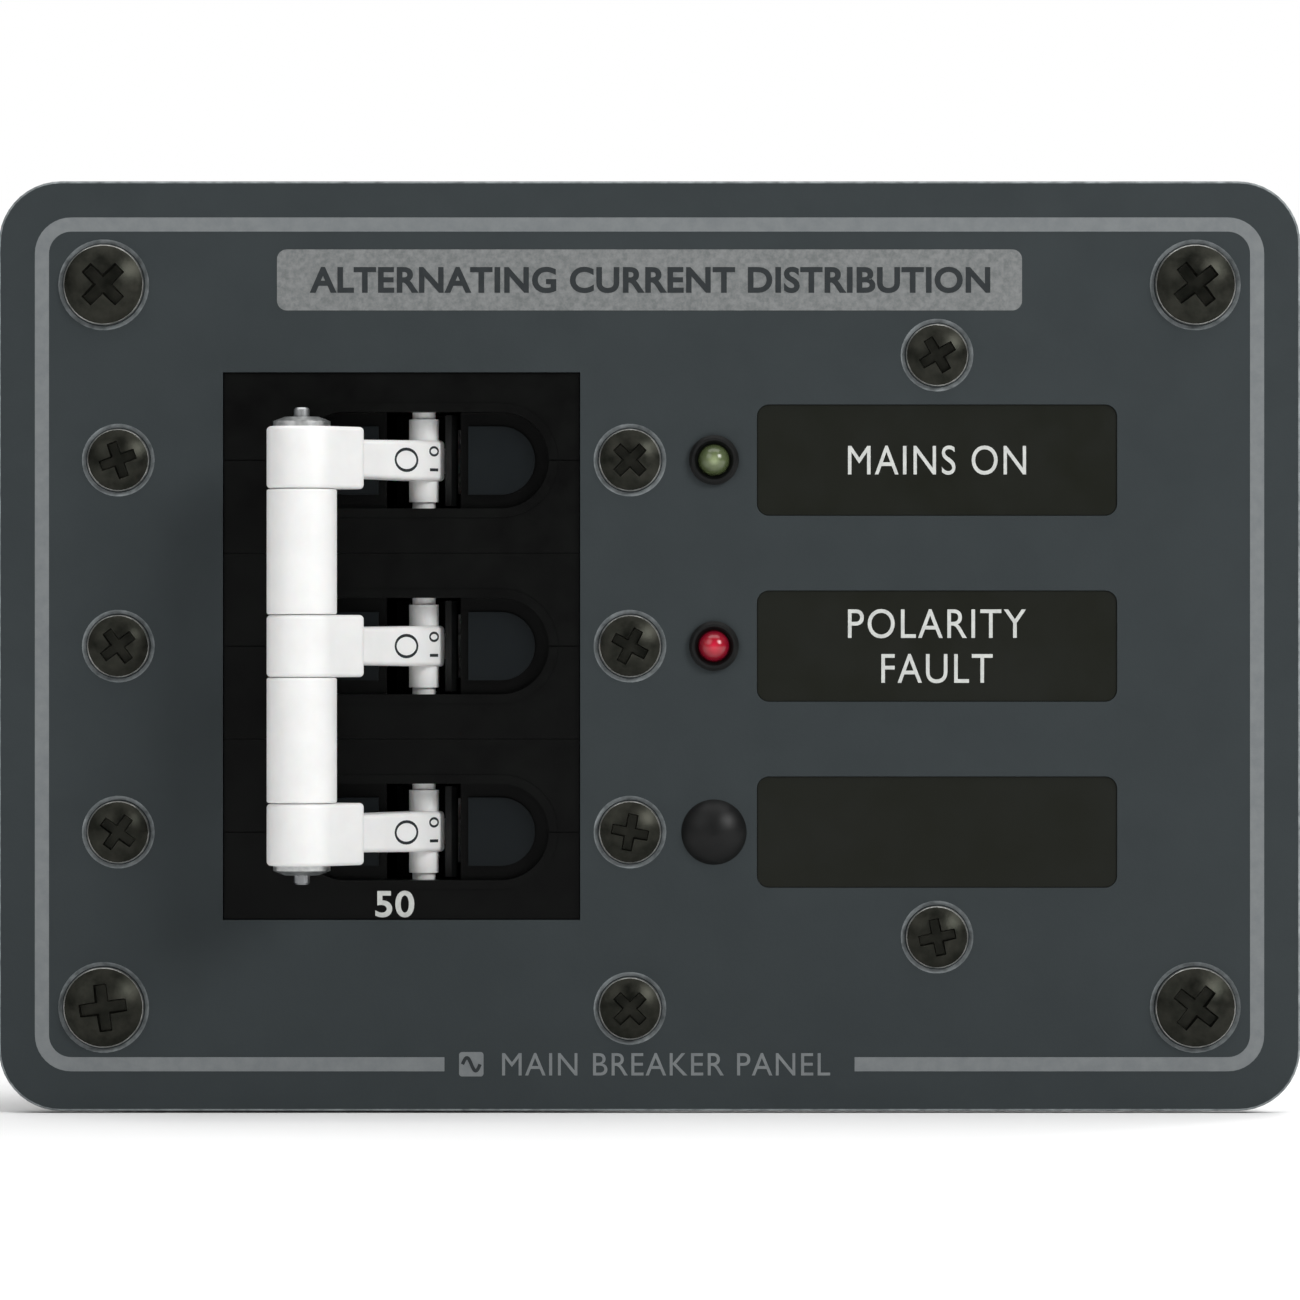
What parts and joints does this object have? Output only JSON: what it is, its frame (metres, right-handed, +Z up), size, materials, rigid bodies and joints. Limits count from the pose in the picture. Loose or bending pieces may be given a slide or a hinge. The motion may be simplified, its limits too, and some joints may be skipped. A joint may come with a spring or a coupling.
{
  "type": "ac distribution panel with three-pole toggle breaker",
  "caption": "Flush AC distribution panel: coated plate with a ganged toggle circuit breaker, label windows, indicator lamps, blanking plug and rear terminal studs.",
  "frame": {"origin": "centre of the panel's rear face, midway between the four wall screws", "axes": "+X to the right seen from the front, +Z up, front faces -Y, terminals point +Y"},
  "size_m": [0.1334, 0.0813, 0.0952],
  "materials": {
    "coated_plate": "textured matt coating over aluminium",
    "black_steel": "black oxide, slightly shiny",
    "zinc_steel": "bright zinc plate",
    "plated_steel": "dull plate",
    "spring_steel": "bare spring temper",
    "label_acrylic": "satin tinted face",
    "clear_acrylic": "clear polished",
    "black_nylon": "moulded satin",
    "white_nylon": "moulded satin",
    "black_moulding": "moulded thermoset, satin",
    "carrier_moulding": "brown thermoset",
    "board_laminate": "solder-masked glass laminate",
    "resistor_ceramic": "lacquered",
    "capacitor_sleeve": "shrink sleeve",
    "terminal_green": "moulded",
    "green_lens": "tinted epoxy",
    "red_lens": "tinted epoxy",
    "tinned_wire": "tinned copper",
    "brass": "drawn",
    "copper": "rolled copper",
    "enamelled_copper": "enamelled wire"
  },
  "bodies": {
    "panel": {"panel_plate": "coated_plate", "panel_mounting_screws": "black_steel", "breaker_mounting_screws": "black_steel", "board_screws": "black_steel", "earth_screw": "black_steel", "rear_hex_nuts": "zinc_steel", "earth_washer": "zinc_steel", "label_window_upper": "label_acrylic", "label_window_middle": "label_acrylic", "label_window_lower": "label_acrylic", "light_guide": "clear_acrylic", "board_standoffs": "black_nylon", "indicator_board": "board_laminate", "backlight_leds": "white_nylon", "dropper_resistors": "resistor_ceramic", "smoothing_capacitor": "capacitor_sleeve", "board_terminal_block": "terminal_green", "board_terminal_screws": "zinc_steel", "power_indicator_lamp": "green_lens", "polarity_indicator_lamp": "red_lens", "indicator_bezels": "black_nylon", "lamp_leads": "tinned_wire", "blanking_plug": "black_nylon", "case_rivets": "zinc_steel", "mounting_inserts": "brass", "terminal_studs": "zinc_steel", "terminal_nuts": "zinc_steel", "delay_tubes": "brass", "carrier_pins": "plated_steel", "carrier_springs": "spring_steel", "arc_chutes": "plated_steel", "pole_1_case_upper": "black_moulding", "pole_1_case_lower": "black_moulding", "line_terminal_1": "copper", "load_terminal_1": "copper", "coil_1": "enamelled_copper", "magnet_frame_1": "plated_steel", "pole_2_case_upper": "black_moulding", "pole_2_case_lower": "black_moulding", "line_terminal_2": "copper", "load_terminal_2": "copper", "coil_2": "enamelled_copper", "magnet_frame_2": "plated_steel", "pole_3_case_upper": "black_moulding", "pole_3_case_lower": "black_moulding", "line_terminal_3": "copper", "load_terminal_3": "copper", "coil_3": "enamelled_copper", "magnet_frame_3": "plated_steel"},
    "handles": {"handle_1": "white_nylon", "handle_2": "white_nylon", "handle_3": "white_nylon", "tie_rod": "plated_steel", "handle_spacer_upper": "white_nylon", "handle_spacer_lower": "white_nylon", "tie_rod_retainers": "spring_steel", "dust_shields": "black_nylon"},
    "contact_set": {"contact_carriers": "carrier_moulding", "contact_arms": "copper"},
    "armature_set": {"armatures": "plated_steel"}
  },
  "joints": [
    {"name": "handle_throw", "type": "hinge", "parent": "panel", "child": "handles", "pos_m": [-0.0232, 0.0013, 0], "axis": [0, 0, 1], "range_deg": [0, 70]},
    {"name": "contact_arm_swing", "type": "hinge", "parent": "panel", "child": "contact_set", "pos_m": [-0.0232, 0.0193, 0], "axis": [0, 0, 1], "range_deg": [-29.6, 0]},
    {"name": "armature_trip", "type": "hinge", "parent": "panel", "child": "armature_set", "pos_m": [-0.0363, 0.0147, 0], "axis": [0, 0, -1], "range_deg": [0, 7], "stiffness_Nm_per_rad": 0.02, "springref_deg": -11.46}
  ],
  "couplings": [
    {"joint": "contact_arm_swing", "follows": "handle_throw", "ratio": -0.42101}
  ]
}
